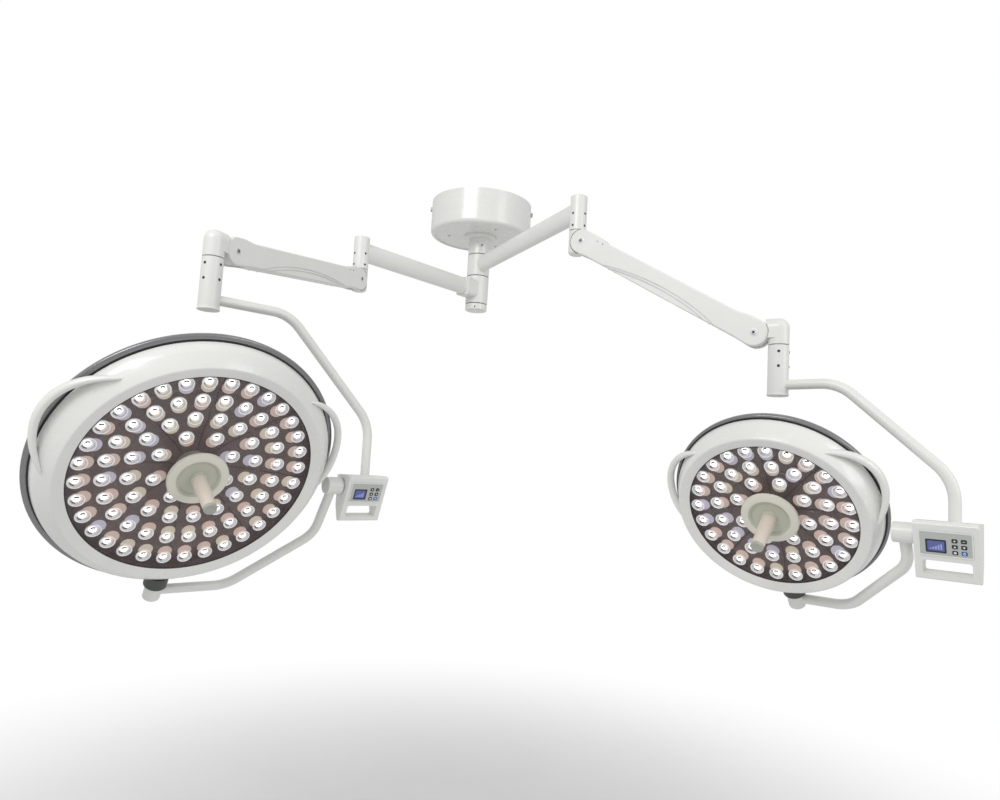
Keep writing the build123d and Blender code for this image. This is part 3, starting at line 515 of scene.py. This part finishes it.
def band_outline(side):
    """Front ring's outside: bevel, rounded shoulder and the steep outer band."""
    head = HEADS[side]
    edge, bevel, r = head["window"] + 0.2, head["window"] + BEVEL_W, head["ring"]
    outline = [(edge, WINDOW_Z - 0.5), (edge, WINDOW_Z + 1.6)]
    outline += arc_points((bevel - 3, FRONT_Z - 0.4), (bevel, FRONT_Z + 0.2),
                          (bevel + 2.4, FRONT_Z - 2.4), 4)
    outline += arc_points((r - 9, 31), (r - 0.5, 17), (r, 0.5), 10)
    return outline


def add_shells(side):
    """White front ring, and the metallic rear cover whose flange stands out behind it."""
    head = HEADS[side]
    r = head["ring"]
    ring = bmesh.new()
    revolve(ring, band_outline(side) + [(r - 3, 0.5), (r - 3, 14)], steps=RING_STEPS)
    made = piece(f"{side}_ring_shell", ring, lamp_frame(side), f"{side}_head", "abs_white")
    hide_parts(f"{side}_front_ring")
    rim = head["rim"] + 2.0
    outline = [(r + 3.4, -14), (r + 3.4, -2.6)]
    outline += arc_points((r + 4.4, -1.8), (rim + 0.5, -0.6), (rim, -6), 6)
    outline += arc_points((rim, -9), (rim - 2, -31), (rim * 0.87, -35.5), 8)
    outline += arc_points((rim * 0.86, -36), (rim * 0.5, REAR_Z), (rim * 0.13, REAR_Z), 10)
    outline += [(0, REAR_Z)]
    cover = bmesh.new()
    revolve(cover, outline, steps=RING_STEPS)
    made = piece(f"{side}_cover_shell", cover, lamp_frame(side), f"{side}_head", "paint_metallic")
    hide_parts(f"{side}_rear_cover")


def handle_section(side, t):
    """Centre, direction and half sizes of a side handle's oval section, t from -1 to 1 along it."""
    head = HEADS[side]
    bulge = math.cos(t * math.pi / 2)
    fullness = math.sqrt(max(0.0, 1 - abs(t) ** 5))
    radius = head["ring"] - 19 + (head["rim"] - head["ring"] + 33) * bulge ** 0.95
    angle = math.radians(t * head["handle_span"])
    centre = Vector((radius * math.cos(angle), radius * math.sin(angle), 40 - 30 * bulge))
    lean = angle * 0.55
    out = Vector((math.cos(lean), math.sin(lean), 0))
    return centre, out, 0.5 + 11.5 * fullness, 0.5 + 8.5 * fullness


def add_side_handles(side):
    """Two crescent handles whose leaf-shaped ends melt into the ring."""
    handles = bmesh.new()
    rows, around = 48, 24
    for at in (-90 - SIDE_HANDLE_AT, -90 + SIDE_HANDLE_AT):
        turn = Matrix.Rotation(math.radians(at), 4, "Z")
        loops = []
        for row in range(rows + 1):
            t = -math.cos(math.pi * row / rows)
            centre, out, tall, thick = handle_section(side, t)
            loop = []
            for step in range(around):
                a = math.tau * step / around
                spot = centre + out * thick * math.cos(a) + Vector((0, 0, tall * math.sin(a)))
                loop.append(handles.verts.new(turn @ spot))
            loops.append(loop)
        bridge(handles, loops, smooth=True)
        handles.faces.new(loops[0][::-1])
        handles.faces.new(loops[-1])
    made = piece(f"{side}_handle_bars", handles, lamp_frame(side), f"{side}_head", "abs_white")
    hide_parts(f"{side}_side_handles")


def add_head_trim(side):
    """Window gasket, the disc's cream rim, and a dark sheet of painted shadow in the gap behind the front ring."""
    head = HEADS[side]
    gasket = bmesh.new()
    r = head["window"]
    revolve(gasket, [(r + 0.4, WINDOW_Z - 1), (r + 0.4, WINDOW_Z + 1.6), (r - 0.6, WINDOW_Z + 1.9),
                     (r - 2.4, WINDOW_Z + 0.6), (r - 2.4, WINDOW_Z + 0.1)], steps=128)
    piece(f"{side}_window_gasket", gasket, lamp_frame(side), f"{side}_head", "dark_gap")
    disc = bmesh.new()
    r = HANDLE_DISC_R
    revolve(disc, [(r + 0.4, WINDOW_Z + 0.3), (r + 0.6, WINDOW_Z + 4.5), (r - 1.2, WINDOW_Z + 8.0),
                   (r - 9, WINDOW_Z + 10.6), (52, WINDOW_Z + 10.6), (49.5, WINDOW_Z + 8.4)], steps=96)
    piece(f"{side}_disc_rim", disc, lamp_frame(side), f"{side}_head", "disc_rim")
    # painted shadow: a dark sheet in the gap between the front ring and the rear cover
    joint = bmesh.new()
    r = head["ring"]
    revolve(joint, [(r - 2.5, 1.0), (r - 1.5, -1.6), (r + 4.5, -2.4), (r + 4.5, -5)], steps=RING_STEPS)
    piece(f"{side}_ring_gap_shadow", joint, lamp_frame(side), f"{side}_head", "dark_gap")


def add_grip_trim(side):
    """Collar at the foot and grey end cap of the sterile handle."""
    foot = bmesh.new()
    revolve(foot, [(18.9, GRIP_START + 0.5), (19.6, GRIP_START + 1.5), (19.6, GRIP_START + 7),
                   (18.8, GRIP_START + 8)], steps=48)
    piece(f"{side}_grip_foot", foot, lamp_frame(side), f"{side}_grip", "grip_beige")
    end = bmesh.new()
    revolve(end, [(14.9, GRIP_END - 7), (15.0, GRIP_END - 1.5), (13.6, GRIP_END + 0.7),
                  (10.5, GRIP_END + 1.0), (9.0, GRIP_END + 0.5), (0, GRIP_END + 0.5)], steps=40)
    piece(f"{side}_grip_end", end, lamp_frame(side), f"{side}_grip", "grip_end")


def add_rear_screws(side):
    """Screws round the rear cover, and the blank round badge at its centre."""
    head = HEADS[side]
    screws = bmesh.new()
    tilt = Matrix.Rotation(math.radians(176), 4, "Y")
    for index in range(COVER_SCREWS):
        turn = Matrix.Rotation(math.radians((index + 0.5) * 360 / COVER_SCREWS), 4, "Z")
        socket_screw(screws, turn @ Matrix.Translation((head["rim"] * 0.80, 0, -36.2)) @ tilt, 4.5, 1.2)
    piece(f"{side}_rear_screws", screws, lamp_frame(side), f"{side}_head", "steel_pin", "dark_gap")
    cap = bmesh.new()
    hub = head["rim"] * 0.12
    revolve(cap, [(hub * 0.95, -48.2), (hub * 0.93, -49.4), (hub * 0.7, -50.2), (hub * 0.66, -49.4),
                  (0, -49.4)], steps=64)
    piece(f"{side}_rear_badge_blank", cap, lamp_frame(side), f"{side}_head", "paint_metallic")


# ================================================================ control box
def icon_strokes(label):
    """Outlines of a key's generic sign."""
    bar = rounded(5.2, 1.1, 0.4)
    post = rounded(1.1, 5.2, 0.4)
    if label == "brighter":
        return [bar, post]
    if label == "dimmer":
        return [bar]
    if label == "warmer":
        return [[(-2.8, -1.8), (2.8, -1.8), (0, 2.6)]]
    if label == "cooler":
        return [[(-2.8, 1.8), (0, -2.6), (2.8, 1.8)]]
    if label == "endo":
        return [rounded(5.4, 4.2, 1.2)]
    return [rounded(1.2, 3.4, 0.4, (0, 1.3))]


def add_keys(side):
    """White sign on each key; the power key's is a ring round a bar."""
    spots = [(x, y) for y in KEY_ROWS for x in KEY_COLUMNS]
    for label, (x, y) in zip(KEY_NAMES, spots):
        sign = bmesh.new()
        at = Matrix.Translation((x, y, 0))
        for lift, outline in enumerate(icon_strokes(label)):
            prism(sign, outline, KEY_PROUD - 0.2, KEY_PROUD + 0.12 + 0.02 * lift, at, chamfer=0.05)
        if label == "power":
            turns = [math.tau * i / POWER_RING_STEPS for i in range(POWER_RING_STEPS)]
            outer = [(POWER_RING_R * math.cos(a), POWER_RING_R * math.sin(a)) for a in turns]
            inner = [(px * 0.68, py * 0.68) for px, py in outer]
            ring_strip(sign, outer, inner, KEY_PROUD - 0.2, KEY_PROUD + 0.1, at)
        piece(f"{side}_sign_{label}", sign, face_frame(side), f"{side}_key_{label}", "icon_white")


def add_panel(side):
    """Bezel, display with its bars, and the raised rims round the keys."""
    body = f"{side}_yoke"
    face = face_frame(side)
    bezel = bmesh.new()
    outer = rounded(PANEL_W + 5, PANEL_H + 5, 5)
    inner = rounded(PANEL_W - 0.6, PANEL_H - 0.6, 2.6)
    ring_strip(bezel, outer, inner, -0.6, 1.0)
    piece(f"{side}_panel_bezel", bezel, face, body, "abs_white")
    surround = bmesh.new()
    outer = rounded(DISPLAY_W + 2.5, DISPLAY_H + 2.5, 2.0, DISPLAY_AT)
    inner = rounded(DISPLAY_W - 4.5, DISPLAY_H - 4.5, 1.0, DISPLAY_AT)
    ring_strip(surround, outer, inner, -0.7, 0.35)
    piece(f"{side}_display_frame", surround, face, body, "display_frame")
    screen = bmesh.new()
    prism(screen, rounded(DISPLAY_W - 4, DISPLAY_H - 4, 0.8, DISPLAY_AT), -0.75, -0.35)
    piece(f"{side}_display_screen", screen, face, body, "display")
    bars = bmesh.new()
    for index in range(5):
        height = 3.0 + 2.4 * index
        centre = (DISPLAY_AT[0] - 10 + 5 * index, DISPLAY_AT[1] - 8 + height / 2)
        prism(bars, rounded(3.0, height, 0.3, centre, 2), -0.5, -0.28, chamfer=0.05)
    piece(f"{side}_display_bars", bars, face, body, "display_mark")
    rims = bmesh.new()
    for y in KEY_ROWS:
        for x in KEY_COLUMNS:
            ring_strip(rims, rounded(*KEY_RIM_OUTER, (x, y)), rounded(*KEY_RIM_INNER, (x, y)), -0.3, 0.35)
    piece(f"{side}_key_rims", rims, face, body, "panel_foil")


# ================================================================ arms, posts and column
def add_post_screws(side):
    """Dark set screws that clamp the elbow and the swivel post."""
    elbow = place_of(f"{side}_elbow_yaw")
    elbow.z = place_of(f"{side}_arm_yaw").z
    post = place_of(f"{side}_yoke_swivel")
    for name, origin, body, heights, angles in (("elbow_screws", elbow, "arm", (-11, -49), (-135, -45)),
                                                ("post_screws", post, "yoke", (-52, -90), (-110, -20))):
        screws = bmesh.new()
        for height in heights:
            for angle in angles:
                socket_screw(screws, outward(angle, POST_R, height), 3.6)
        piece(f"{side}_{name}", screws, world_frame(origin), f"{side}_{body}", "screw_dark", "dark_gap")


def arm_face(x, way, z):
    """Place on a flat face of the spring arm, +Z out of it; way is -1 or 1 for the face."""
    turn = Matrix.Rotation(math.radians(-90 * way), 4, "X")
    return Matrix.Translation((x, way * ARM_HALF_W, z)) @ turn


def add_spring_arm_trim(side):
    """Pivot screws with washers, and two small screws on the hump beyond the base pivot."""
    screws = bmesh.new()
    for x in (0, SPRING_ARM_L):
        for way in (-1, 1):
            at = arm_face(x, way, 0)
            revolve(screws, [(10.5, -0.3), (10.5, 0.5), (9.8, 0.9), (6.8, 0.9)], at, 32, 2)
            socket_screw(screws, at, 6.8, 2.0)
    for x in (52, 74):
        for way in (-1, 1):
            socket_screw(screws, arm_face(x, way, 21), 2.4, 0.5)
    piece(f"{side}_pivot_screws", screws, spring_frame(side), f"{side}_spring_arm",
          "steel_pin", "dark_gap", "abs_white")


def add_swoosh(side):
    """Grey strips of painted shade along the crease lines of the shallow relief at the spring arm's lower edge, on
    both faces.
    """
    creases = bmesh.new()
    for start, end, height, depth in SWOOSH:
        peak = start + 0.58 * (end - start)
        path = arc_points((start + 12, -33.5), (peak, -36 + 2 * height), (end - 8, -33.5), 40)
        for way in (-1, 1):
            level = way * (ARM_HALF_W - depth)
            rows = []
            for x, z in path:
                section = ((level, z), (level + way * 0.5, z - 0.8), (level, z - 1.7))
                rows.append([creases.verts.new((x, y, height)) for y, height in section])
            bridge(creases, rows, closed=False, smooth=True)
    piece(f"{side}_arm_creases", creases, spring_frame(side), f"{side}_spring_arm", "crease_painted_shade")


def add_column_trim():
    """Set screws in the column's neck and end cap, and the end cap's stepped face."""
    screws = bmesh.new()
    socket_screw(screws, outward(-75, 44, -176), 3.4)
    piece("neck_screws", screws, world_frame((0, 0, 0)), "mount", "screw_dark", "dark_gap")
    cap = bmesh.new()
    socket_screw(cap, outward(-95, 43, -425), 3.2)
    revolve(cap, [(30, -435.6), (29, -437.4), (25, -438.2), (0, -438.4)], steps=48, slot=2)
    piece("end_cap_trim", cap, world_frame((0, 0, 0)), "mount", "screw_dark", "dark_gap", "abs_white")


for one in SIDES:
    add_lenses(one)
    add_painted_spill(one)
    add_carrier_seams(one)
    add_shells(one)
    add_side_handles(one)
    add_head_trim(one)
    add_grip_trim(one)
    add_rear_screws(one)
    add_keys(one)
    add_panel(one)
    add_post_screws(one)
    add_spring_arm_trim(one)
    add_swoosh(one)
add_column_trim()


# ================================================================ camera, floor and light
def aim(obj, target):
    """Turn a lamp so that it shines at the target."""
    obj.rotation_euler = (Vector(target) - obj.location).to_track_quat("-Z", "Y").to_euler()


def add_camera():
    """Camera matched to the photo: it looks slightly up and is rolled a little."""
    pitch, roll = math.radians(CAMERA_PITCH), math.radians(CAMERA_ROLL)
    right = Vector((1, 0, 0))
    down = Vector((0, math.sin(pitch), -math.cos(pitch)))
    ahead = Vector((0, math.cos(pitch), math.sin(pitch)))
    rolled_right = math.cos(roll) * right - math.sin(roll) * down
    rolled_down = math.sin(roll) * right + math.cos(roll) * down
    turn = Matrix((rolled_right, -rolled_down, -ahead)).transposed().to_4x4()
    data = bpy.data.cameras.new("camera")
    data.sensor_width = 36.0
    data.lens = CAMERA_LENS
    data.clip_end = 60.0
    camera = bpy.data.objects.new("camera", data)
    camera.matrix_world = Matrix.Translation(CAMERA_PLACE) @ turn
    bpy.context.scene.collection.objects.link(camera)
    bpy.context.scene.camera = camera


def add_area(name, place, size, power):
    """White rectangular lamp that shines at the middle of the object."""
    data = bpy.data.lights.new(name, "AREA")
    data.shape = "RECTANGLE"
    data.size, data.size_y = size
    data.energy = power
    light = bpy.data.objects.new(name, data)
    light.location = place
    aim(light, STUDIO_MIDDLE)
    bpy.context.scene.collection.objects.link(light)


def white_when_seen(tree):
    """Strength of the studio's own white: full where it is looked at, softer as a light."""
    seen = tree.nodes.new("ShaderNodeLightPath").outputs["Is Camera Ray"]
    strength = tree.nodes.new("ShaderNodeMapRange")
    strength.inputs["To Min"].default_value = AMBIENT
    strength.inputs["To Max"].default_value = 1.0
    tree.links.new(seen, strength.inputs["Value"])
    return strength.outputs[0]


def floor_material():
    """Pale floor that fades into the white backdrop away from the object."""
    made = Shader("floor_pale")
    made.color(made.ramp(made.noise(2.0, 4.0), (0.3, 0.80), (0.7, 0.83)))
    made.roughness(made.ramp(made.noise(9.0, 3.0), (0.3, 0.65), (0.7, 0.8)))
    length = made.tree.nodes.new("ShaderNodeVectorMath")
    length.operation = "LENGTH"
    made.link(made.coords, length.inputs[0])
    fade = made.tree.nodes.new("ShaderNodeMapRange")
    fade.interpolation_type = "SMOOTHSTEP"
    fade.inputs["From Min"].default_value, fade.inputs["From Max"].default_value = FLOOR_FADE
    made.link(length.outputs["Value"], fade.inputs["Value"])
    backdrop = made.tree.nodes.new("ShaderNodeEmission")
    made.link(white_when_seen(made.tree), backdrop.inputs["Strength"])
    mix = made.tree.nodes.new("ShaderNodeMixShader")
    made.link(fade.outputs[0], mix.inputs[0])
    made.link(made.bsdf.outputs[0], mix.inputs[1])
    made.link(backdrop.outputs[0], mix.inputs[2])
    made.link(mix.outputs[0], made.output.inputs[0])
    return made.material


def add_studio():
    """White backdrop, a large key light above the camera's left and a fill on its right."""
    world = bpy.data.worlds.new("studio")
    world.use_nodes = True
    tree = world.node_tree
    background = tree.nodes["Background"]
    background.inputs["Color"].default_value = (1.0, 1.0, 1.0, 1.0)
    tree.links.new(white_when_seen(tree), background.inputs["Strength"])
    bpy.context.scene.world = world
    bpy.context.scene.view_settings.view_transform = "Standard"
    add_area("key", *KEY_LAMP)
    add_area("fill", *FILL_LAMP)
    bpy.ops.mesh.primitive_plane_add(size=FLOOR_SIZE, location=(0, 0, FLOOR_LEVEL))
    floor = bpy.context.object
    floor.name = "studio_floor"
    floor.data.materials.append(floor_material())


add_camera()
add_studio()
